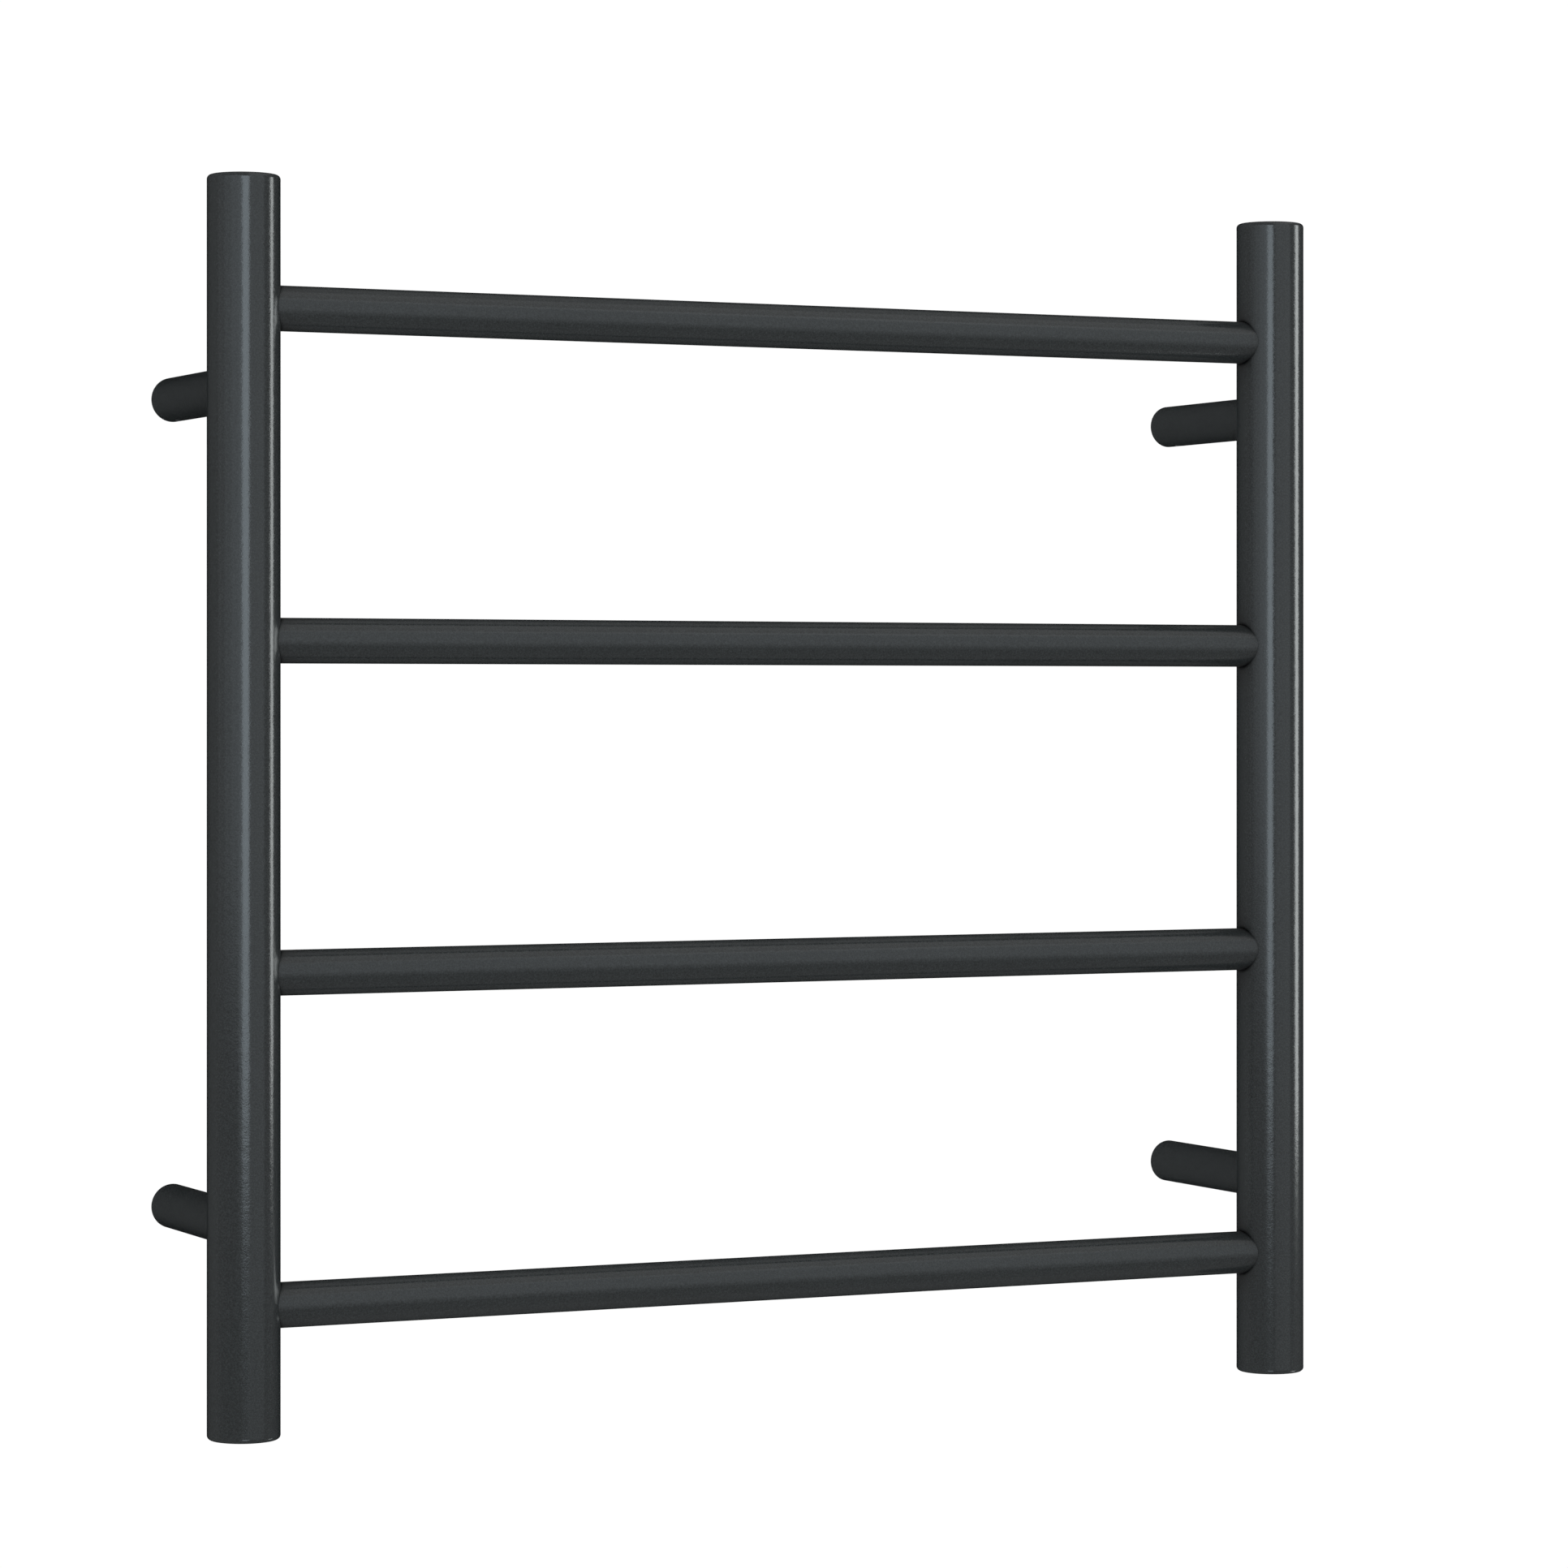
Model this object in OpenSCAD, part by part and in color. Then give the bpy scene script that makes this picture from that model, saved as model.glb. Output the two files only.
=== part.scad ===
// Wall-hung electric towel warmer rack: two round uprights, round crossbars between them,
// and four round standoffs that slide over spigots screwed to the wall.
// The wall is the plane y = 0, the room is towards -Y, and the origin is the centre of the
// four fixing holes. Millimetres, +Z up, +X to the right as seen from the room.

/* [Frame] */
// Height of the uprights over their end caps
overall_h = 550; // [500:10:900]
// Width over the two uprights
overall_w = 550; // [450:10:800]
// Distance from the wall to the uprights' axis
axis_out = 98; // [92:1:130]

/* [Tubes] */
// Outer diameter of the uprights
upright_d = 32; // [30:1:36]
// Outer diameter of the crossbars
bar_d = 20; // [18:1:22]
// Wall thickness of the uprights and crossbars
tube_wall = 1.2; // [1:0.1:1.5]

/* [Crossbars] */
// Number of crossbars, even so that the cable ends where it starts
bar_count = 4; // [4:2:6]
// Distance from an upright's end to the nearest crossbar's axis
bar_inset = 57.5; // [50:0.5:70]

/* [Standoffs] */
// Outer diameter of the standoffs
standoff_d = 20; // [20:1:22]
// Bore of the standoffs
standoff_bore_d = 16; // [16:0.1:16.4]
// Distance from an upright's end to a standoff's axis
standoff_inset = 92.5; // [90:0.5:120]

/* [End caps] */
// Thickness of a cap's visible disc
cap_t = 3; // [2.5:0.5:4]
// Rounding of a cap's outer edge
cap_edge_r = 2; // [1:0.5:2]
// Depth of the skirt inside the tube
skirt_len = 8; // [5:1:12]

/* [Wall fixing] */
// Length of a spigot
spigot_len = 22; // [18:1:24]
// Running clearance between spigot and standoff, on the radius
spigot_gap = 0.1; // [0.05:0.01:0.1]
// Hole for the wall screw
fixing_hole_d = 4.2; // [3.6:0.1:4.4]
// Hole for the supply cable
cable_hole_d = 6.8; // [6:0.1:6.8]
// Thread size of the grub screws
grub_d = 4; // [3:0.5:4]
// Distance from the wall to the grub screws
grub_out = 11; // [9:1:13]

/* [Heating circuit] */
// Diameter of the heating cable
cable_d = 4; // [3:0.5:5]
// Bend radius of the heating cable
cable_bend_r = 10; // [9:0.5:11]
// Diameter of the insulated leads
lead_d = 1.9; // [1.5:0.1:2]
// Bend radius of the leads
lead_bend_r = 5; // [4:0.5:6]

/* [Hidden] */
$fn = 96;

upright_r = upright_d / 2;
upright_bore_r = upright_r - tube_wall;
upright_x = overall_w / 2 - upright_r;
rack_y = -axis_out;
tube_half = overall_h / 2 - cap_t;

bar_r = bar_d / 2;
bar_bore_r = bar_r - tube_wall;
bar_hole_r = bar_bore_r - 1.8;
bar_pitch = (overall_h - 2 * bar_inset) / (bar_count - 1);

standoff_r = standoff_d / 2;
standoff_bore_r = standoff_bore_d / 2;
standoff_hole_r = standoff_bore_r - 1.5;
standoff_z = overall_h / 2 - standoff_inset;

skirt_gap = 0.05;
skirt_wall = 2;

spigot_r = standoff_bore_r - spigot_gap;
hole_offset = 3.7;
head_recess_r = 3.6;
head_recess_t = 3;
key_floor = spigot_r - 1;
key_w = grub_d + 0.4;
key_start = 6;

grub_r = grub_d / 2;
thread_gap = 0.05;
grub_tip = key_floor + 0.05;
grub_top = standoff_r - 0.15;
grub_point = 0.5;
grub_socket_af = 2;
grub_socket_t = 1.6;

bush_gap = 0.05;
bush_wall = 0.45;

// Places of the heating circuit, all in the plane of the rack
cable_r = cable_d / 2;
lead_r = lead_d / 2;
cable_lane_x = upright_x + 3;
sleeve_gap = 0.05;
sleeve_wall = 1;
splice_x = upright_x - 39;
splice_len = 30;
seal_x = upright_x - 34;
seal_len = 25;
seal_grip = 12;

// The terminal block lies in the lower right standoff, with its three poles side by side
block_size = [12, 18, 8];
block_y = -53;
pole_pitch = 4;
pole_hole_r = 1.5;
barrel_r = 1.45;
barrel_bore_r = 1.1;
barrel_len = 14;
screw_row = 5;
screw_well_r = 1.1;
screw_head_r = 1;
screw_head_t = 1.2;
screw_thread_r = 0.8;
liner_len = 24;
liner_wall = 0.5;
liner_gap = 0.1;
live_x = upright_x - pole_pitch;
earth_x = upright_x;
neutral_x = upright_x + pole_pitch;
lead_start_y = block_y - 2;

// The thermal cut-out hangs on two leads in the right upright, above the standoff
cutout_size = [7, 4, 20];
cutout_base_z = -standoff_z + 32.5;
cutout_lead_pitch = 4;

// The two cores and the sheathed lead meet in a moulded breakout above the lowest crossbar
breakout_r = 3.4;
breakout_len = 10;
breakout_x = (earth_x + neutral_x) / 2;
breakout_top_z = -standoff_z - 11.5;
cold_bend_r = 8;

// The earth stud stands on the inside of the lower right cap
earth_lane = 7;
stud_r = 2;
stud_len = 8;
ring_r = 4;
ring_hole_r = 2.15;
ring_t = 0.8;
crimp_r = 1.7;
crimp_len = 9;
washer_r = 4;
washer_t = 0.8;
nut_af = 7;
nut_t = 3.2;

corners = ["top_left", "top_right", "bottom_left", "bottom_right"];

coat_black = [0.20, 0.22, 0.23];
zinc_grey = [0.72, 0.73, 0.74];
steel_grey = [0.55, 0.56, 0.58];
brass_yellow = [0.80, 0.64, 0.30];
silicone_red = [0.45, 0.12, 0.10];
rubber_black = [0.08, 0.08, 0.08];
nylon_white = [0.90, 0.89, 0.84];

// Height of a crossbar's axis, the first at the top
function bar_z(n) = overall_h / 2 - bar_inset - (n - 1) * bar_pitch;

// -1 for a left corner and 1 for a right one
function side_of(corner) = corner == "top_left" || corner == "bottom_left" ? -1 : 1;

// 1 for an upper corner and -1 for a lower one
function level_of(corner) = corner == "top_left" || corner == "top_right" ? 1 : -1;

// The cable runs along the lowest crossbar first, then back and forth up to the top one
cable_route = concat(
    [[splice_x - 0.5, rack_y, bar_z(bar_count)]],
    [for (i = [0 : bar_count - 2], step = [0, 1])
        [(i % 2 == 0 ? -1 : 1) * cable_lane_x, rack_y, bar_z(bar_count - i - step)]],
    [[seal_x + seal_grip, rack_y, bar_z(1)]]
);

// The sheathed lead drops from the breakout and turns into the lowest crossbar
cold_route = [
    [breakout_x, rack_y, breakout_top_z - breakout_len],
    [breakout_x, rack_y, bar_z(bar_count)],
    [splice_x + 0.5, rack_y, bar_z(bar_count)]
];

live_supply_route = [
    [live_x, lead_start_y, -standoff_z],
    [live_x, rack_y, -standoff_z],
    [live_x, rack_y, cutout_base_z]
];

live_return_route = [
    [live_x + cutout_lead_pitch, rack_y, cutout_base_z],
    [live_x + cutout_lead_pitch, rack_y, breakout_top_z]
];

neutral_route = [
    [neutral_x, lead_start_y, -standoff_z],
    [neutral_x, rack_y, -standoff_z],
    [neutral_x, rack_y, breakout_top_z]
];

earth_route = [
    [earth_x, lead_start_y, -standoff_z],
    [earth_x, rack_y + earth_lane, -standoff_z],
    [earth_x, rack_y + earth_lane, -tube_half + ring_t + crimp_len - 4]
];

// Puts a shape drawn at the origin on a standoff's axis at the wall
module at_corner(corner) {
    translate([side_of(corner) * upright_x, 0, level_of(corner) * standoff_z]) children();
}

// Turns a shape that stands on z = 0 to stand out from the wall
module from_wall() {
    rotate([90, 0, 0]) children();
}

module rod(start, end, radius) {
    run = end - start;
    length = norm(run);
    translate(start)
        rotate([0, acos(run.z / length), atan2(run.y, run.x)])
            cylinder(r = radius, h = length);
}

// A quarter turn between two runs at right angles, where the first goes along dir_in
module elbow(corner, dir_in, dir_out, radius, bend_r) {
    centre = corner - bend_r * dir_in + bend_r * dir_out;
    side = cross(-dir_out, dir_in);
    multmatrix([
        [-dir_out.x, dir_in.x, side.x, centre.x],
        [-dir_out.y, dir_in.y, side.y, centre.y],
        [-dir_out.z, dir_in.z, side.z, centre.z]
    ])
        rotate_extrude(angle = 90)
            translate([bend_r, 0])
                circle(r = radius);
}

// A round wire along square-cornered points, with every corner turned at bend_r
module wire(points, radius, bend_r) {
    last = len(points) - 1;
    dirs = [for (i = [0 : last - 1]) (points[i + 1] - points[i]) / norm(points[i + 1] - points[i])];
    for (i = [0 : last - 1]) {
        trim_start = i == 0 ? 0 : bend_r;
        trim_end = i == last - 1 ? 0 : bend_r;
        rod(points[i] + trim_start * dirs[i], points[i + 1] - trim_end * dirs[i], radius);
    }
    if (last > 1)
        for (i = [1 : last - 1])
            elbow(points[i], dirs[i - 1], dirs[i], radius, bend_r);
}

// Vertical tube with a cable hole behind each crossbar and each standoff
module upright(side) {
    color(coat_black)
        translate([side * upright_x, rack_y, 0])
            difference() {
                cylinder(r = upright_r, h = 2 * tube_half, center = true);
                cylinder(r = upright_bore_r, h = overall_h, center = true);
                for (n = [1 : bar_count])
                    translate([0, 0, bar_z(n)])
                        rotate([0, -side * 90, 0])
                            cylinder(r = bar_hole_r, h = upright_d);
                for (level = [-1, 1])
                    translate([0, 0, level * standoff_z])
                        rotate([-90, 0, 0])
                            cylinder(r = standoff_hole_r, h = upright_d);
            }
}

// Horizontal tube with both ends coped to the uprights
module crossbar(n) {
    color(coat_black)
        translate([0, rack_y, bar_z(n)])
            difference() {
                rotate([0, 90, 0]) cylinder(r = bar_r, h = 2 * upright_x, center = true);
                rotate([0, 90, 0]) cylinder(r = bar_bore_r, h = overall_w, center = true);
                for (side = [-1, 1])
                    translate([side * upright_x, 0, 0])
                        cylinder(r = upright_r, h = 2 * bar_d, center = true);
            }
}

// Short tube from the wall to an upright, coped at the upright, tapped for its grub screw
module standoff(corner) {
    color(coat_black)
        at_corner(corner)
            difference() {
                from_wall() cylinder(r = standoff_r, h = axis_out);
                translate([0, 1, 0]) from_wall() cylinder(r = standoff_bore_r, h = overall_w);
                translate([0, rack_y, 0])
                    cylinder(r = upright_r, h = 2 * standoff_d, center = true);
                translate([0, -grub_out, -standoff_d])
                    cylinder(r = grub_r + thread_gap, h = standoff_d);
            }
}

// Half of a cap's cross-section, with the tube's end at the height of zero
module cap_profile() {
    flat_r = upright_r - cap_edge_r;
    skirt_r = upright_bore_r - skirt_gap;
    square([flat_r, cap_t]);
    square([upright_r, cap_t - cap_edge_r]);
    translate([flat_r, cap_t - cap_edge_r])
        intersection() {
            circle(r = cap_edge_r);
            square(cap_edge_r);
        }
    translate([skirt_r - skirt_wall, -skirt_len]) square([skirt_wall, skirt_len]);
}

// Disc flush with the upright, with a skirt that plugs the tube
module cap(corner) {
    flip = level_of(corner) > 0 ? 0 : 180;
    color(coat_black)
        translate([side_of(corner) * upright_x, rack_y, level_of(corner) * tube_half])
            rotate([flip, 0, 0])
                rotate_extrude()
                    cap_profile();
}

module heating_cable() {
    color(silicone_red) wire(cable_route, cable_r, cable_bend_r);
}

// Closed sleeve over the cable's far end
module end_seal() {
    color(rubber_black)
        translate([seal_x, rack_y, bar_z(1)])
            rotate([0, 90, 0])
                difference() {
                    cylinder(r = cable_r + sleeve_wall, h = seal_len);
                    translate([0, 0, -1]) cylinder(r = cable_r + sleeve_gap, h = seal_grip + 2);
                }
}

// Sleeve over the joint between the sheathed lead and the heating cable
module splice_sleeve() {
    color(rubber_black)
        translate([splice_x, rack_y, bar_z(bar_count)])
            rotate([0, 90, 0])
                difference() {
                    cylinder(r = cable_r + sleeve_wall, h = splice_len, center = true);
                    cylinder(r = cable_r + sleeve_gap, h = 2 * splice_len, center = true);
                }
}

module cold_lead() {
    color(rubber_black) wire(cold_route, cable_r, cold_bend_r);
}

// Moulding where the live and neutral cores enter the sheathed lead
module core_breakout() {
    color(rubber_black)
        translate([breakout_x, rack_y, breakout_top_z - breakout_len])
            cylinder(r = breakout_r, h = breakout_len);
}

// Flat bimetal switch in the live lead
module thermal_cutout() {
    color(zinc_grey)
        translate([live_x + cutout_lead_pitch / 2, rack_y, cutout_base_z + cutout_size.z / 2])
            cube(cutout_size, center = true);
}

// Live core in two lengths, to the cut-out and on to the breakout
module live_lead() {
    color("saddlebrown") {
        wire(live_supply_route, lead_r, lead_bend_r);
        wire(live_return_route, lead_r, lead_bend_r);
    }
}

module neutral_lead() {
    color("royalblue") wire(neutral_route, lead_r, lead_bend_r);
}

module earth_lead() {
    color("yellowgreen") wire(earth_route, lead_r, lead_bend_r);
}

// Ring terminal with an upright crimp barrel for the earth lead
module earth_terminal() {
    color(brass_yellow)
        translate([earth_x, rack_y, -tube_half])
            difference() {
                union() {
                    cylinder(r = ring_r, h = ring_t);
                    translate([-crimp_r, 0, 0]) cube([2 * crimp_r, earth_lane, ring_t]);
                    translate([0, earth_lane, 0]) cylinder(r = crimp_r, h = crimp_len + ring_t);
                }
                translate([0, 0, -1]) cylinder(r = ring_hole_r, h = ring_t + 2);
                translate([0, earth_lane, ring_t])
                    cylinder(r = lead_r + sleeve_gap, h = crimp_len + 1);
            }
}

module earth_stud() {
    color(steel_grey)
        translate([earth_x, rack_y, -tube_half])
            cylinder(r = stud_r, h = stud_len);
}

// Washer and nut in one piece, clamping the ring terminal
module earth_nut() {
    nut_corner_r = nut_af / 2 / cos(30);
    color(steel_grey)
        translate([earth_x, rack_y, -tube_half + ring_t])
            difference() {
                union() {
                    cylinder(r = washer_r, h = washer_t);
                    cylinder(r = nut_corner_r, h = washer_t + nut_t, $fn = 6);
                }
                translate([0, 0, -1])
                    cylinder(r = stud_r + thread_gap, h = washer_t + nut_t + 2);
            }
}

// Centre of the terminal block
module at_block() {
    translate([upright_x, block_y, -standoff_z]) children();
}

// Insulating body with three wire channels and a well over each clamping screw
module terminal_block() {
    color(nylon_white)
        at_block()
            difference() {
                cube(block_size, center = true);
                for (pole = [-1, 0, 1])
                    translate([pole * pole_pitch, 0, 0]) {
                        rotate([90, 0, 0])
                            cylinder(r = pole_hole_r, h = 2 * block_size.y, center = true);
                        for (end = [-1, 1])
                            translate([0, end * screw_row, 0])
                                cylinder(r = screw_well_r, h = block_size.z);
                    }
            }
}

// Brass barrels that carry the current through the block
module terminal_barrels() {
    color(brass_yellow)
        at_block()
            for (pole = [-1, 0, 1])
                translate([pole * pole_pitch, 0, 0])
                    difference() {
                        rotate([90, 0, 0])
                            cylinder(r = barrel_r, h = barrel_len, center = true);
                        rotate([90, 0, 0])
                            cylinder(r = barrel_bore_r, h = 2 * barrel_len, center = true);
                        for (end = [-1, 1])
                            translate([0, end * screw_row, 0])
                                cylinder(r = screw_thread_r + thread_gap, h = block_size.z);
                    }
}

// Slotted clamping screws, two to a pole
module terminal_screws() {
    tip_z = lead_r + 0.05;
    head_z = barrel_r + 0.1;
    slot = [3 * screw_head_r, 0.4, 0.5];
    color(steel_grey)
        at_block()
            for (pole = [-1, 0, 1], end = [-1, 1])
                translate([pole * pole_pitch, end * screw_row, 0])
                    difference() {
                        union() {
                            translate([0, 0, tip_z])
                                cylinder(r = screw_thread_r, h = head_z - tip_z);
                            translate([0, 0, head_z])
                                cylinder(r = screw_head_r, h = screw_head_t);
                        }
                        translate([0, 0, head_z + screw_head_t]) cube(slot, center = true);
                    }
}

// Insulating tube between the terminal block and the standoff
module terminal_liner() {
    outer_r = standoff_bore_r - liner_gap;
    color(nylon_white)
        at_block()
            rotate([90, 0, 0])
                difference() {
                    cylinder(r = outer_r, h = liner_len, center = true);
                    cylinder(r = outer_r - liner_wall, h = 2 * liner_len, center = true);
                }
}

// Boss that is screwed to the wall, with keyways for the grub screw above and below.
// The screw hole is on the rack's inner side and the cable hole on its outer side.
module wall_spigot(corner) {
    side = side_of(corner);
    color(zinc_grey)
        at_corner(corner)
            difference() {
                from_wall() cylinder(r = spigot_r, h = spigot_len);
                translate([-side * hole_offset, 1, 0])
                    from_wall() cylinder(r = fixing_hole_d / 2, h = spigot_len + 2);
                translate([-side * hole_offset, head_recess_t - spigot_len, 0])
                    from_wall() cylinder(r = head_recess_r, h = head_recess_t + 1);
                translate([side * hole_offset, 1, 0])
                    from_wall() cylinder(r = cable_hole_d / 2, h = spigot_len + 2);
                for (level = [-1, 1])
                    translate([0, -key_start - spigot_len / 2, level * (key_floor + key_w / 2)])
                        cube([key_w, spigot_len, key_w], center = true);
            }
}

// Hexagon socket grub screw below a standoff, its point in the spigot's keyway
module grub_screw(corner) {
    socket_r = grub_socket_af / 2 / cos(30);
    color(steel_grey)
        at_corner(corner)
            translate([0, -grub_out, -grub_top])
                difference() {
                    union() {
                        cylinder(r = grub_r, h = grub_top - grub_tip - grub_point);
                        translate([0, 0, grub_top - grub_tip - grub_point])
                            cylinder(r1 = grub_r, r2 = grub_r - grub_point, h = grub_point);
                    }
                    translate([0, 0, -1])
                        cylinder(r = socket_r, h = grub_socket_t + 1, $fn = 6);
                }
}

// Rubber bush that lines the cable hole of the lower right spigot
module cable_bush() {
    outer_r = cable_hole_d / 2 - bush_gap;
    color(rubber_black)
        translate([upright_x + hole_offset, 0, -standoff_z])
            from_wall()
                difference() {
                    cylinder(r = outer_r, h = spigot_len);
                    translate([0, 0, -1]) cylinder(r = outer_r - bush_wall, h = spigot_len + 2);
                }
}

upright(-1);  // left_upright
upright(1);  // right_upright
for (n = [1 : bar_count])
    crossbar(n);
for (corner = corners) {
    standoff(corner);
    cap(corner);
    wall_spigot(corner);
    grub_screw(corner);
}
heating_cable();
end_seal();
splice_sleeve();
cold_lead();
core_breakout();
thermal_cutout();
live_lead();
neutral_lead();
earth_lead();
earth_terminal();
earth_stud();
earth_nut();
terminal_block();
terminal_barrels();
terminal_screws();
terminal_liner();
cable_bush();
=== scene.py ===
import math
import bpy
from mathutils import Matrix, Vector


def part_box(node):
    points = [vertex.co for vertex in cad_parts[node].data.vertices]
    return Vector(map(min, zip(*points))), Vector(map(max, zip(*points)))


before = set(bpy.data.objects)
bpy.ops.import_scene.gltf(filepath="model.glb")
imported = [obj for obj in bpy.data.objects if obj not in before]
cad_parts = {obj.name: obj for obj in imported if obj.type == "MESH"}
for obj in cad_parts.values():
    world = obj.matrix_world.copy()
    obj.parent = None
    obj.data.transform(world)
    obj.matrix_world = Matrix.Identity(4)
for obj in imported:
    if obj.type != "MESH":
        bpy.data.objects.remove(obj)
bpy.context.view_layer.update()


# helpers for node trees

def feed(tree, socket, value):
    # a socket takes either a link or a plain value
    if isinstance(value, bpy.types.NodeSocket):
        tree.links.new(value, socket)
    else:
        socket.default_value = value


def addNode(tree, kind, **settings):
    node = tree.nodes.new(kind)
    for name, value in settings.items():
        setattr(node, name, value)
    return node


def maths(tree, operation, a, b=None, c=None, clamp=False):
    node = addNode(tree, "ShaderNodeMath", operation=operation, use_clamp=clamp)
    for socket, value in zip(node.inputs, (a, b, c)):
        if value is not None:
            feed(tree, socket, value)
    return node.outputs[0]


def remap(tree, value, low, high, toLow=0.0, toHigh=1.0, smooth=False):
    node = addNode(tree, "ShaderNodeMapRange")
    node.interpolation_type = "SMOOTHSTEP" if smooth else "LINEAR"
    for name, v in (("Value", value), ("From Min", low), ("From Max", high),
                    ("To Min", toLow), ("To Max", toHigh)):
        feed(tree, node.inputs[name], v)
    return node.outputs["Result"]


def noise(tree, vector, scale, detail=2.0, rough=0.5):
    node = addNode(tree, "ShaderNodeTexNoise")
    for name, v in (("Vector", vector), ("Scale", scale),
                    ("Detail", detail), ("Roughness", rough)):
        feed(tree, node.inputs[name], v)
    return node.outputs["Fac"]


def mixColour(tree, share, a, b, blend="MIX"):
    node = addNode(tree, "ShaderNodeMix", data_type="RGBA", blend_type=blend)
    feed(tree, node.inputs["Factor"], share)
    feed(tree, node.inputs["A"], a)
    feed(tree, node.inputs["B"], b)
    return node.outputs["Result"]


def mixLevel(tree, share, a, b):
    node = addNode(tree, "ShaderNodeMix", data_type="FLOAT")
    feed(tree, node.inputs["Factor"], share)
    feed(tree, node.inputs["A"], a)
    feed(tree, node.inputs["B"], b)
    return node.outputs["Result"]


def newGroup(name, inputs, outputs):
    group = bpy.data.node_groups.new(name, "ShaderNodeTree")
    for label, kind, value in inputs:
        socket = group.interface.new_socket(label, in_out="INPUT", socket_type="NodeSocket" + kind)
        if value is not None:
            socket.default_value = value
    for label, kind in outputs:
        group.interface.new_socket(label, in_out="OUTPUT", socket_type="NodeSocket" + kind)
    given = addNode(group, "NodeGroupInput").outputs
    return group, given, addNode(group, "NodeGroupOutput").inputs


def useGroup(tree, group, **values):
    # group inputs are named in camelCase here and in words on the sockets
    node = addNode(tree, "ShaderNodeGroup")
    node.node_tree = group
    for socket in node.inputs:
        key = socket.name[0].lower() + socket.name[1:].replace(" ", "")
        if key in values:
            feed(tree, socket, values[key])
    return node.outputs


# effects that several finishes share, each a group with its own sockets

def makePowderGrain():
    # cured powder coat: fine grain, the broader orange peel under it, and faint clouds in the tone
    group, given, out = newGroup("powderGrain", [
        ("Vector", "Vector", None), ("Grain Scale", "Float", 1300.0), ("Peel Scale", "Float", 240.0),
        ("Peel Share", "Float", 0.6), ("Cloud Scale", "Float", 18.0)],
        [("Height", "Float"), ("Fleck", "Float"), ("Speck", "Float"), ("Cloud", "Float")])
    fine = noise(group, given["Vector"], given["Grain Scale"], 2.0, 0.6)
    peel = noise(group, given["Vector"], given["Peel Scale"], 2.0, 0.45)
    keep = maths(group, "SUBTRACT", 1.0, given["Peel Share"])
    height = maths(group, "ADD", maths(group, "MULTIPLY", fine, keep),
                   maths(group, "MULTIPLY", peel, given["Peel Share"]))
    feed(group, out["Height"], height)
    feed(group, out["Fleck"], remap(group, fine, 0.30, 0.70))
    feed(group, out["Speck"], remap(group, fine, 0.58, 0.72, smooth=True))
    cloud = noise(group, given["Vector"], given["Cloud Scale"], 3.0, 0.55)
    feed(group, out["Cloud"], remap(group, cloud, 0.3, 0.7))
    return group


def makeEdgeWear():
    # rounded normal against the flat one: 1 on an outside edge, broken up by noise
    group, given, out = newGroup("edgeWear", [
        ("Vector", "Vector", None), ("Edge Size", "Float", 0.0006), ("Break Scale", "Float", 400.0)],
        [("Edge", "Float")])
    soft = addNode(group, "ShaderNodeBevel", samples=4)
    feed(group, soft.inputs["Radius"], given["Edge Size"])
    hard = addNode(group, "ShaderNodeNewGeometry")
    dot = addNode(group, "ShaderNodeVectorMath", operation="DOT_PRODUCT")
    feed(group, dot.inputs[0], soft.outputs["Normal"])
    feed(group, dot.inputs[1], hard.outputs["Normal"])
    edge = remap(group, dot.outputs["Value"], 0.985, 0.80, smooth=True)
    broken = remap(group, noise(group, given["Vector"], given["Break Scale"], 3.0, 0.6), 0.35, 0.62)
    feed(group, out["Edge"], maths(group, "MULTIPLY", edge, broken, clamp=True))
    return group


def makeDustFilm():
    # thin dust that settles on what faces up
    group, given, out = newGroup("dustFilm", [
        ("Vector", "Vector", None), ("Patch Scale", "Float", 60.0), ("Amount", "Float", 0.2)],
        [("Dust", "Float")])
    normal = addNode(group, "ShaderNodeNewGeometry").outputs["Normal"]
    split = addNode(group, "ShaderNodeSeparateXYZ")
    feed(group, split.inputs[0], normal)
    up = remap(group, split.outputs["Z"], 0.55, 1.0, smooth=True)
    patch = remap(group, noise(group, given["Vector"], given["Patch Scale"], 4.0, 0.65), 0.35, 0.75)
    feed(group, out["Dust"], maths(group, "MULTIPLY", maths(group, "MULTIPLY", up, patch),
                                   given["Amount"], clamp=True))
    return group


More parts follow.
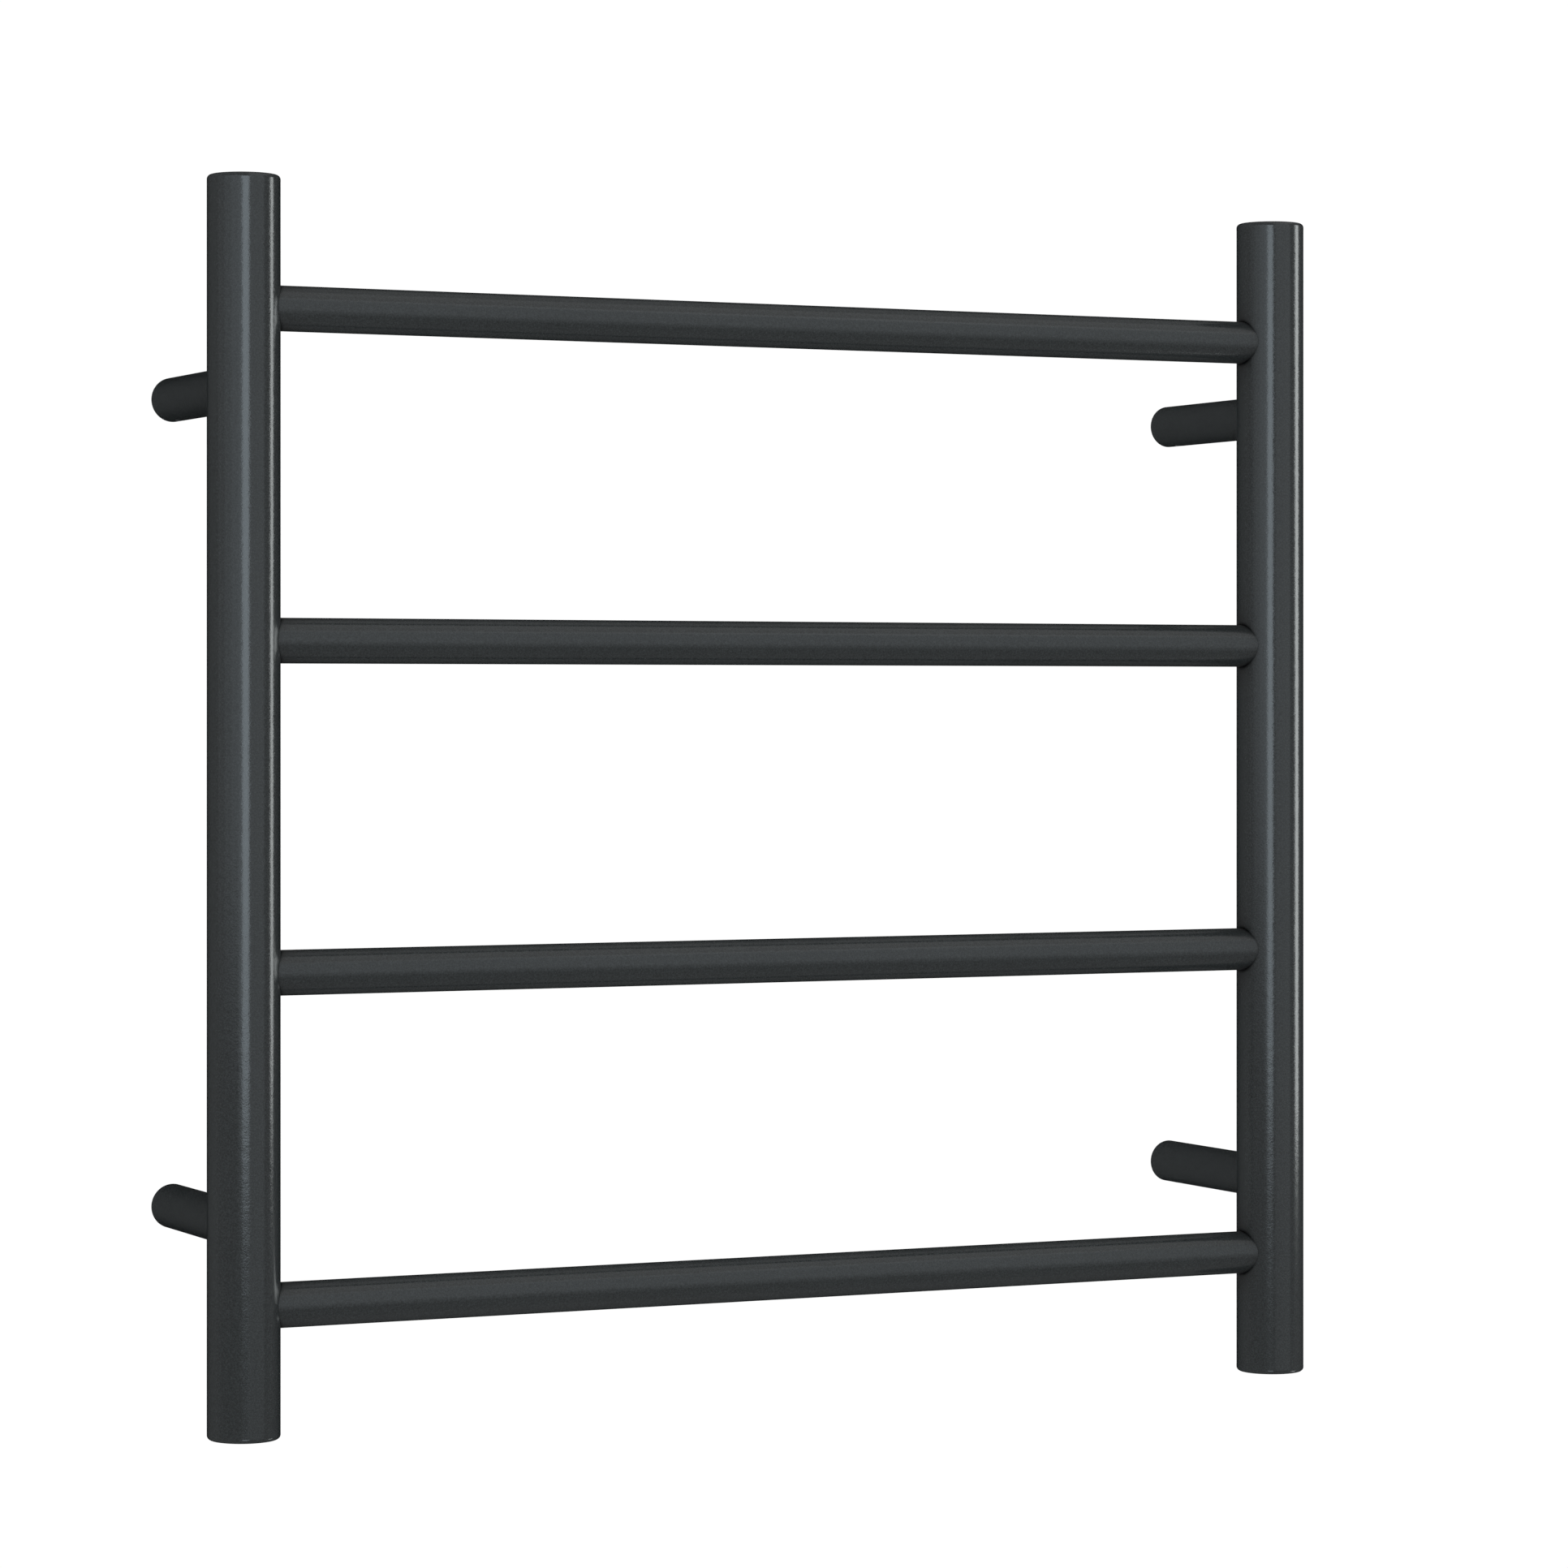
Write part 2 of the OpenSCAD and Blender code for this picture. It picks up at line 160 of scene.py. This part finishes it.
def makeTurnedMarks():
    # lathe rings round the y axis through Centre X and Centre Z, the same in all four corners
    group, given, out = newGroup("turnedMarks", [
        ("Vector", "Vector", None), ("Centre X", "Float", 0.0), ("Centre Z", "Float", 0.0),
        ("Rings", "Float", 9000.0), ("Feed", "Float", 6000.0)],
        [("Height", "Float"), ("Tone", "Float")])
    split = addNode(group, "ShaderNodeSeparateXYZ")
    feed(group, split.inputs[0], given["Vector"])
    dx = maths(group, "SUBTRACT", maths(group, "ABSOLUTE", split.outputs["X"]), given["Centre X"])
    dz = maths(group, "SUBTRACT", maths(group, "ABSOLUTE", split.outputs["Z"]), given["Centre Z"])
    radius = maths(group, "SQRT", maths(group, "ADD", maths(group, "MULTIPLY", dx, dx),
                                        maths(group, "MULTIPLY", dz, dz)))
    rings = maths(group, "SINE", maths(group, "MULTIPLY", radius, given["Rings"]))
    thread = maths(group, "SINE", maths(group, "MULTIPLY", split.outputs["Y"], given["Feed"]))
    line = addNode(group, "ShaderNodeCombineXYZ")
    feed(group, line.inputs["X"], maths(group, "MULTIPLY", radius, 900.0))
    feed(group, line.inputs["Y"], maths(group, "MULTIPLY", split.outputs["Y"], 900.0))
    uneven = noise(group, line.outputs[0], 1.0, 3.0, 0.6)
    feed(group, out["Height"], maths(group, "ADD", maths(group, "MULTIPLY", rings, thread),
                                     maths(group, "MULTIPLY", uneven, 1.4)))
    feed(group, out["Tone"], remap(group, uneven, 0.25, 0.75))
    return group


def makeMouldSkin():
    # soft mottling of moulded or extruded rubber and plastic, with sparse pits
    group, given, out = newGroup("mouldSkin", [
        ("Vector", "Vector", None), ("Mottle Scale", "Float", 220.0), ("Pit Scale", "Float", 900.0)],
        [("Height", "Float"), ("Mottle", "Float")])
    mottle = noise(group, given["Vector"], given["Mottle Scale"], 4.0, 0.6)
    cells = addNode(group, "ShaderNodeTexVoronoi", feature="F1")
    feed(group, cells.inputs["Vector"], given["Vector"])
    feed(group, cells.inputs["Scale"], given["Pit Scale"])
    pits = remap(group, cells.outputs["Distance"], 0.05, 0.35, smooth=True)
    feed(group, out["Height"], maths(group, "ADD", maths(group, "MULTIPLY", mottle, 0.5),
                                     maths(group, "MULTIPLY", pits, 0.5)))
    feed(group, out["Mottle"], remap(group, mottle, 0.3, 0.7))
    return group


def makeContactShade():
    # painted shade masks from occlusion: Open is 1 in the clear and falls off where parts meet, for
    # painted corner shade, and Seam is 1 right in the joint line, for a painted dark contact line
    group, given, out = newGroup("contactShade", [
        ("Reach", "Float", 0.014), ("Seam Reach", "Float", 0.0025)],
        [("Open", "Float"), ("Seam", "Float")])
    wide = addNode(group, "ShaderNodeAmbientOcclusion", samples=8)
    feed(group, wide.inputs["Distance"], given["Reach"])
    feed(group, out["Open"], remap(group, wide.outputs["AO"], 0.45, 0.97, smooth=True))
    tight = addNode(group, "ShaderNodeAmbientOcclusion", samples=8)
    feed(group, tight.inputs["Distance"], given["Seam Reach"])
    feed(group, out["Seam"], remap(group, tight.outputs["AO"], 0.86, 0.60, smooth=True))
    return group


powderGrain = makePowderGrain()
edgeWear = makeEdgeWear()
dustFilm = makeDustFilm()
turnedMarks = makeTurnedMarks()
mouldSkin = makeMouldSkin()
contactShade = makeContactShade()
print("shared effects ready")


# finishes: one dictionary of settings and one maker for each kind

def startMaterial(name):
    material = bpy.data.materials.new(name)
    material.use_nodes = True
    tree = material.node_tree
    tree.nodes.clear()
    shader = addNode(tree, "ShaderNodeBsdfPrincipled")
    output = addNode(tree, "ShaderNodeOutputMaterial")
    tree.links.new(shader.outputs[0], output.inputs["Surface"])
    place = addNode(tree, "ShaderNodeTexCoord").outputs["Object"]
    return material, tree, shader.inputs, place


def bump(tree, height, strength, distance):
    node = addNode(tree, "ShaderNodeBump")
    feed(tree, node.inputs["Height"], height)
    feed(tree, node.inputs["Strength"], strength)
    feed(tree, node.inputs["Distance"], distance)
    return node.outputs["Normal"]


coat = {
    "colour": (0.0132, 0.0152, 0.0158, 1),
    "cloudColour": (0.0118, 0.0138, 0.0144, 1),
    "speckColour": (0.0210, 0.0240, 0.0248, 1),
    "fleckDark": (0.60, 0.60, 0.60, 1),
    "fleckLight": (1.40, 1.40, 1.40, 1),
    "wornColour": (0.0300, 0.0330, 0.0340, 1),
    # painted shade: the near-black the coat turns to where parts meet
    "cornerColour": (0.0030, 0.0034, 0.0036, 1),
    "dustColour": (0.1500, 0.1480, 0.1420, 1),
    "roughness": (0.135, 0.165),
    "specks": 0.5,          # how strongly the pale specks show
    "grainScale": 1300.0,
    "peelScale": 240.0,
    "peelShare": 0.55,
    "bumpStrength": 1.0,
    "bumpDepth": 0.00009,
    "cloudScale": 16.0,
    "edgeSize": 0.0007,
    "edgeBreak": 500.0,
    "edgeWear": 0.35,
    "cornerReach": 0.026,   # metres over which the painted corner shade darkens
    "cornerRoughness": 0.6,
    "seamReach": 0.0028,
    "dust": 0.03,
    "dustScale": 70.0,
    "dustRoughness": 0.8,
}


def makeCoat():
    material, tree, shader, place = startMaterial("charcoalPowderCoat")
    grain = useGroup(tree, powderGrain, vector=place, grainScale=coat["grainScale"],
                     peelScale=coat["peelScale"], peelShare=coat["peelShare"],
                     cloudScale=coat["cloudScale"])
    edge = useGroup(tree, edgeWear, vector=place, edgeSize=coat["edgeSize"],
                    breakScale=coat["edgeBreak"])["Edge"]
    dust = useGroup(tree, dustFilm, vector=place, patchScale=coat["dustScale"],
                    amount=coat["dust"])["Dust"]
    contact = useGroup(tree, contactShade, reach=coat["cornerReach"],
                       seamReach=coat["seamReach"])
    clear = contact["Open"]
    colour = mixColour(tree, grain["Cloud"], coat["colour"], coat["cloudColour"])
    fleck = mixColour(tree, grain["Fleck"], coat["fleckDark"], coat["fleckLight"])
    colour = mixColour(tree, 1.0, colour, fleck, "MULTIPLY")
    colour = mixColour(tree, maths(tree, "MULTIPLY", grain["Speck"], coat["specks"]),
                       colour, coat["speckColour"])
    colour = mixColour(tree, maths(tree, "MULTIPLY", edge, coat["edgeWear"]),
                       colour, coat["wornColour"])
    colour = mixColour(tree, dust, colour, coat["dustColour"])
    # painted shade: where parts meet the colour goes to the near-black corner colour
    colour = mixColour(tree, clear, coat["cornerColour"], colour)
    feed(tree, shader["Base Color"], colour)
    gloss = remap(tree, grain["Cloud"], 0.0, 1.0, *coat["roughness"])
    gloss = mixLevel(tree, clear, coat["cornerRoughness"], gloss)
    gloss = maths(tree, "ADD", gloss, maths(tree, "MULTIPLY", dust, coat["dustRoughness"]))
    feed(tree, shader["Roughness"], gloss)
    feed(tree, shader["Metallic"], contact["Seam"])    # painted shade: takes the shine out of the joint line
    feed(tree, shader["Normal"], bump(tree, grain["Height"],
                                      coat["bumpStrength"], coat["bumpDepth"]))
    shader["IOR"].default_value = 1.5
    return material


spigot = {
    "colour": (0.56, 0.57, 0.58, 1),
    "dark": (0.40, 0.41, 0.43, 1),
    "wornColour": (0.72, 0.72, 0.71, 1),
    "roughness": (0.24, 0.36),
    "metallic": 0.74,       # the rest is the dull passivated skin over the zinc
    "rings": 14000.0,
    "feed": 15000.0,
    "edgeSize": 0.0004,
    "edgeBreak": 900.0,
    "bumpStrength": 0.25,
    "bumpDepth": 0.00003,
}


def makeTurnedMetal():
    # turned zinc-plated bosses, rings on the face and feed marks along the side
    material, tree, shader, place = startMaterial("turnedZinc")
    low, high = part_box("wall_spigot_top_right")
    marks = useGroup(tree, turnedMarks, vector=place, centreX=(low.x + high.x) / 2,
                     centreZ=(low.z + high.z) / 2, rings=spigot["rings"], feed=spigot["feed"])
    edge = useGroup(tree, edgeWear, vector=place, edgeSize=spigot["edgeSize"],
                    breakScale=spigot["edgeBreak"])["Edge"]
    colour = mixColour(tree, marks["Tone"], spigot["colour"], spigot["dark"])
    colour = mixColour(tree, edge, colour, spigot["wornColour"])
    feed(tree, shader["Base Color"], colour)
    feed(tree, shader["Roughness"], remap(tree, marks["Tone"], 0.0, 1.0, *spigot["roughness"]))
    feed(tree, shader["Normal"], bump(tree, marks["Height"],
                                      spigot["bumpStrength"], spigot["bumpDepth"]))
    shader["Metallic"].default_value = spigot["metallic"]
    return material


zincWear = (0.75, 0.75, 0.74, 1)
metals = {
    "zincPlatedSteel": {"colour": (0.60, 0.61, 0.62, 1), "dark": (0.47, 0.48, 0.50, 1),
                        "wornColour": zincWear, "roughness": (0.28, 0.42), "mottleScale": 700.0},
    "drawnBrass": {"colour": (0.72, 0.53, 0.26, 1), "dark": (0.58, 0.41, 0.18, 1),
                   "wornColour": (0.85, 0.68, 0.38, 1), "roughness": (0.26, 0.40),
                   "mottleScale": 500.0},
    "cutoutCase": {"colour": (0.52, 0.53, 0.54, 1), "dark": (0.42, 0.43, 0.44, 1),
                   "wornColour": zincWear, "roughness": (0.34, 0.50), "mottleScale": 420.0},
}
metalSkin = {"pitScale": 2600.0, "edgeSize": 0.00025, "edgeBreak": 1500.0, "edgeWear": 0.7,
             "bumpStrength": 0.2, "bumpDepth": 0.00003, "metallic": 0.82}


def makeMetal(name):
    # small plated or drawn metal parts
    look = metals[name]
    material, tree, shader, place = startMaterial(name)
    skin = useGroup(tree, mouldSkin, vector=place, mottleScale=look["mottleScale"],
                    pitScale=metalSkin["pitScale"])
    edge = useGroup(tree, edgeWear, vector=place, edgeSize=metalSkin["edgeSize"],
                    breakScale=metalSkin["edgeBreak"])["Edge"]
    colour = mixColour(tree, skin["Mottle"], look["colour"], look["dark"])
    colour = mixColour(tree, maths(tree, "MULTIPLY", edge, metalSkin["edgeWear"]),
                       colour, look["wornColour"])
    feed(tree, shader["Base Color"], colour)
    feed(tree, shader["Roughness"], remap(tree, skin["Mottle"], 0.0, 1.0, *look["roughness"]))
    feed(tree, shader["Normal"], bump(tree, skin["Height"],
                                      metalSkin["bumpStrength"], metalSkin["bumpDepth"]))
    shader["Metallic"].default_value = metalSkin["metallic"]
    return material


polymers = {
    "siliconeSheath": {"colour": (0.42, 0.13, 0.08, 1), "second": (0.34, 0.10, 0.06, 1),
                       "roughness": (0.42, 0.56), "mottleScale": 260.0, "pitScale": 1300.0,
                       "bumpDepth": 0.00004},
    "blackRubber": {"colour": (0.022, 0.022, 0.023, 1), "second": (0.030, 0.030, 0.031, 1),
                    "roughness": (0.52, 0.68), "mottleScale": 300.0, "pitScale": 1500.0,
                    "bumpDepth": 0.00005},
    "brownInsulation": {"colour": (0.150, 0.070, 0.030, 1), "second": (0.115, 0.052, 0.022, 1),
                        "roughness": (0.36, 0.48), "mottleScale": 500.0, "pitScale": 1800.0,
                        "bumpDepth": 0.00003},
    "blueInsulation": {"colour": (0.030, 0.120, 0.420, 1), "second": (0.022, 0.092, 0.340, 1),
                       "roughness": (0.36, 0.48), "mottleScale": 500.0, "pitScale": 1800.0,
                       "bumpDepth": 0.00003},
    "nylonBlock": {"colour": (0.70, 0.69, 0.65, 1), "second": (0.62, 0.61, 0.57, 1),
                   "roughness": (0.40, 0.52), "mottleScale": 180.0, "pitScale": 900.0,
                   "bumpDepth": 0.00005},
}
polymerSkin = {"dustColour": (0.32, 0.31, 0.29, 1), "dustScale": 240.0, "dust": 0.12,
               "bumpStrength": 0.3}


def makePolymer(name):
    # silicone, rubber and nylon
    look = polymers[name]
    material, tree, shader, place = startMaterial(name)
    skin = useGroup(tree, mouldSkin, vector=place, mottleScale=look["mottleScale"],
                    pitScale=look["pitScale"])
    dust = useGroup(tree, dustFilm, vector=place, patchScale=polymerSkin["dustScale"],
                    amount=polymerSkin["dust"])["Dust"]
    colour = mixColour(tree, skin["Mottle"], look["colour"], look["second"])
    feed(tree, shader["Base Color"], mixColour(tree, dust, colour, polymerSkin["dustColour"]))
    feed(tree, shader["Roughness"], remap(tree, skin["Mottle"], 0.0, 1.0, *look["roughness"]))
    feed(tree, shader["Normal"], bump(tree, skin["Height"],
                                      polymerSkin["bumpStrength"], look["bumpDepth"]))
    return material


earthLead = {
    "green": ((0.030, 0.230, 0.060, 1), (0.022, 0.180, 0.048, 1)),
    "yellow": ((0.700, 0.560, 0.040, 1), (0.610, 0.470, 0.030, 1)),
    "stripe": (0.36, 0.44),    # where across the lead the stripe begins, soft to sharp
    "ragged": 0.12,
    "roughness": (0.38, 0.50),
    "mottleScale": 500.0,
    "pitScale": 1800.0,
    "bumpStrength": 0.25,
    "bumpDepth": 0.00003,
}


def makeEarthLead():
    # green insulation with the yellow stripe along it
    material, tree, shader, place = startMaterial("earthLeadStriped")
    facing = addNode(tree, "ShaderNodeTexCoord").outputs["Normal"]
    split = addNode(tree, "ShaderNodeSeparateXYZ")
    feed(tree, split.inputs[0], facing)
    skin = useGroup(tree, mouldSkin, vector=place, mottleScale=earthLead["mottleScale"],
                    pitScale=earthLead["pitScale"])
    ragged = maths(tree, "ADD", split.outputs["X"],
                   maths(tree, "MULTIPLY", skin["Mottle"], earthLead["ragged"]))
    stripe = remap(tree, ragged, *earthLead["stripe"], smooth=True)
    green = mixColour(tree, skin["Mottle"], *earthLead["green"])
    yellow = mixColour(tree, skin["Mottle"], *earthLead["yellow"])
    feed(tree, shader["Base Color"], mixColour(tree, stripe, green, yellow))
    feed(tree, shader["Roughness"], remap(tree, skin["Mottle"], 0.0, 1.0, *earthLead["roughness"]))
    feed(tree, shader["Normal"], bump(tree, skin["Height"],
                                      earthLead["bumpStrength"], earthLead["bumpDepth"]))
    return material


# the rack's slots and the finish on each
finishes = {
    "frame_black": makeCoat(),
    "spigot_metal": makeTurnedMetal(),
    "plated_steel": makeMetal("zincPlatedSteel"),
    "terminal_brass": makeMetal("drawnBrass"),
    "cutout_case": makeMetal("cutoutCase"),
    "cable_silicone": makePolymer("siliconeSheath"),
    "black_rubber": makePolymer("blackRubber"),
    "live_brown": makePolymer("brownInsulation"),
    "neutral_blue": makePolymer("blueInsulation"),
    "nylon_white": makePolymer("nylonBlock"),
    "earth_green": makeEarthLead(),
}

shown = 0
for name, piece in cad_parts.items():
    for holder in piece.material_slots:
        slotName = holder.material.name.split(".")[0]
        holder.material = finishes[slotName]
        shown += 1
print("finishes on", shown, "slots")


camera = {
    "place": (-0.96817, -2.14544, 0.04599),
    "turn": -25.332,       # degrees round z, looking to the right of straight ahead
    "lens": 113.677,
    "sensor": 36.0,
    "shiftY": -0.05271,
    "clipEnd": 60.0,
}


def makeCamera():
    data = bpy.data.cameras.new("rackCamera")
    data.lens = camera["lens"]
    data.sensor_width = camera["sensor"]
    data.shift_y = camera["shiftY"]
    data.clip_end = camera["clipEnd"]
    holder = bpy.data.objects.new("rackCamera", data)
    holder.location = camera["place"]
    holder.rotation_euler = (math.radians(90.0), 0.0, math.radians(camera["turn"]))
    bpy.context.scene.collection.objects.link(holder)
    bpy.context.scene.camera = holder


makeCamera()

# studio: soft panels, pale floor, white surroundings
turnAngle = math.radians(-camera["turn"])
ahead = Vector((math.sin(turnAngle), math.cos(turnAngle), 0.0))     # the way the camera looks
across = Vector((math.cos(turnAngle), -math.sin(turnAngle), 0.0))   # to its right
leftUprightMiddle = sum(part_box("left_upright"), Vector()) / 2


def studioPoint(right, toward, height):
    # metres from the left upright's axis, as the camera sees it
    point = leftUprightMiddle + across * right - ahead * toward
    return Vector((point.x, point.y, height))


# start and end are (right, toward) of a panel's two upright edges, low and high its z
panels = {
    "frontStrip": {"start": (0.05, 1.516), "end": (0.63, 1.516), "low": -0.29, "high": 0.62,
                   "glow": 2.46, "colour": (0.86, 1.00, 1.10), "lightsMatt": True},
    "sideStrip": {"start": (1.560, -0.235), "end": (1.475, -0.560), "low": -0.26, "high": 0.62,
                  "glow": 4.32, "colour": (0.95, 1.00, 0.995), "lightsMatt": True},
    "rightWall": {"start": (1.37, 3.76), "end": (3.80, 1.12), "low": -0.22, "high": 3.75,
                  "glow": 0.42, "colour": (0.92, 1.00, 1.06)},
    "rightWallMid": {"start": (1.37, 3.76), "end": (3.80, 1.12), "low": -0.60, "high": -0.22,
                     "glow": 0.31, "colour": (0.92, 1.00, 1.06)},
    "rightWallLow": {"start": (1.37, 3.76), "end": (3.80, 1.12), "low": -1.29, "high": -0.60,
                     "glow": 0.16, "colour": (0.92, 1.00, 1.06)},
    "leftWallA": {"start": (-1.48, 0.26), "end": (-1.23, 0.86), "low": -0.15, "high": 0.90,
                  "glow": 0.18, "colour": (0.92, 1.00, 1.06)},
    "leftWallB": {"start": (-1.23, 0.86), "end": (-0.80, 1.27), "low": -0.15, "high": 0.90,
                  "glow": 0.38, "colour": (0.90, 1.00, 1.08)},
    "leftWallC": {"start": (-0.80, 1.27), "end": (-0.26, 1.48), "low": -0.15, "high": 0.90,
                  "glow": 0.56, "colour": (0.89, 1.00, 1.10)},
    "leftWallD": {"start": (-0.26, 1.48), "end": (0.05, 1.516), "low": -0.25, "high": 0.90,
                  "glow": 0.70, "colour": (0.88, 1.00, 1.10)},
    "frontStripLow": {"start": (0.05, 1.516), "end": (0.63, 1.516), "low": -1.30, "high": -0.74,
                      "glow": 1.90, "colour": (0.86, 1.00, 1.10)},
    "sideStripLow": {"start": (1.560, -0.235), "end": (1.475, -0.560), "low": -1.30, "high": -0.90,
                     "glow": 3.00, "colour": (0.95, 1.00, 0.995)},
}


def addPanel(name, spec, place, turn, width, height):
    data = bpy.data.lights.new(name, "AREA")
    data.shape = "RECTANGLE"
    data.size = width
    data.size_y = height
    data.color = spec.get("colour", (1, 1, 1))
    data.energy = 4.0 * width * height * spec["glow"]
    holder = bpy.data.objects.new(name, data)
    holder.location = place
    holder.rotation_euler = turn
    holder.visible_camera = False
    holder.visible_diffuse = spec.get("lightsMatt", False)
    bpy.context.scene.collection.objects.link(holder)


def makeWallPanel(name, spec):
    a = studioPoint(*spec["start"], 0.0)
    b = studioPoint(*spec["end"], 0.0)
    middle = (a + b) / 2
    middle.z = (spec["low"] + spec["high"]) / 2
    facing = Vector((0, 0, 1)).cross((b - a).normalized())
    if facing.dot(Vector((0.0, leftUprightMiddle.y, middle.z)) - middle) < 0:
        facing = -facing
    addPanel(name, spec, middle, facing.to_track_quat("-Z", "Y").to_euler(),
             (b - a).length, spec["high"] - spec["low"])


for name, spec in panels.items():
    makeWallPanel(name, spec)
print("panels round the rack:", len(panels))

# flat panels overhead: middle, size along x and y
ceiling = {
    "ceilingFront": {"middle": (0.95, -1.06, 2.0), "size": (2.2, 1.75), "glow": 0.33},
    "ceilingBack": {"middle": (0.95, 0.40, 2.0), "size": (2.2, 1.17), "glow": 0.10,
                    "lightsMatt": True},
}
for name, spec in ceiling.items():
    addPanel(name, spec, spec["middle"], (0, 0, 0), *spec["size"])

surround = {
    "fillUp": 1.46, "fillDown": 1.16,   # what matt surfaces get from above and from below
    "behindShare": 1.4,                 # the fill from behind, against the fill from in front
    "room": 0.31,                       # what gloss sees in front, fading to nothing behind
    "fadeStart": -0.87, "fadeEnd": -0.02,
    "white": 1.02,                      # what the camera sees past the rack
}


def makeSurround():
    # white to the camera, a soft fill for matt surfaces, a dim room in the reflections
    world = bpy.data.worlds.new("studioAir")
    bpy.context.scene.world = world
    world.use_nodes = True
    tree = world.node_tree
    tree.nodes.clear()
    ray = addNode(tree, "ShaderNodeTexCoord").outputs["Generated"]
    split = addNode(tree, "ShaderNodeSeparateXYZ")
    feed(tree, split.inputs[0], ray)
    fill = remap(tree, split.outputs["Z"], -0.7, 0.7,
                 surround["fillDown"], surround["fillUp"], smooth=True)
    dot = addNode(tree, "ShaderNodeVectorMath", operation="DOT_PRODUCT")
    feed(tree, dot.inputs[0], ray)
    feed(tree, dot.inputs[1], -ahead)
    toFront = dot.outputs["Value"]      # 1 towards the camera, -1 straight behind
    fill = maths(tree, "MULTIPLY", fill, remap(tree, toFront, -0.8, 0.2, surround["behindShare"], 1.0))
    room = remap(tree, toFront, surround["fadeStart"], surround["fadeEnd"], 0.0, surround["room"])
    kinds = addNode(tree, "ShaderNodeLightPath").outputs
    level = mixLevel(tree, kinds["Is Glossy Ray"], fill, room)
    level = mixLevel(tree, kinds["Is Camera Ray"], level, surround["white"])
    air = addNode(tree, "ShaderNodeBackground")
    air.inputs["Color"].default_value = (1, 1, 1, 1)
    feed(tree, air.inputs["Strength"], level)
    output = addNode(tree, "ShaderNodeOutputWorld")
    tree.links.new(air.outputs[0], output.inputs["Surface"])


makeSurround()

paleFloor = {
    "half": 3.2,
    "height": -1.35,
    "colour": (0.90, 0.90, 0.89, 1),
    "second": (0.86, 0.86, 0.85, 1),
    "roughness": (0.70, 0.85),
}


def makeFloor():
    # pale board well below the rack, which hangs on a wall
    mesh = bpy.data.meshes.new("paleFloor")
    h, z = paleFloor["half"], paleFloor["height"]
    mesh.from_pydata([(-h, -h, z), (h, -h, z), (h, h, z), (-h, h, z)], [], [(0, 1, 2, 3)])
    floor = bpy.data.objects.new("paleFloor", mesh)
    material, tree, shader, place = startMaterial("paleFloor")
    mottle = noise(tree, place, 5.0, 5.0, 0.6)
    feed(tree, shader["Base Color"], mixColour(tree, mottle, paleFloor["colour"], paleFloor["second"]))
    feed(tree, shader["Roughness"], remap(tree, mottle, 0.3, 0.7, *paleFloor["roughness"]))
    mesh.materials.append(material)
    bpy.context.scene.collection.objects.link(floor)
    floor.visible_glossy = False
    floor.visible_diffuse = False
    floor.visible_shadow = False


makeFloor()
bpy.context.scene.view_settings.view_transform = "Standard"
print("studio and camera ready")
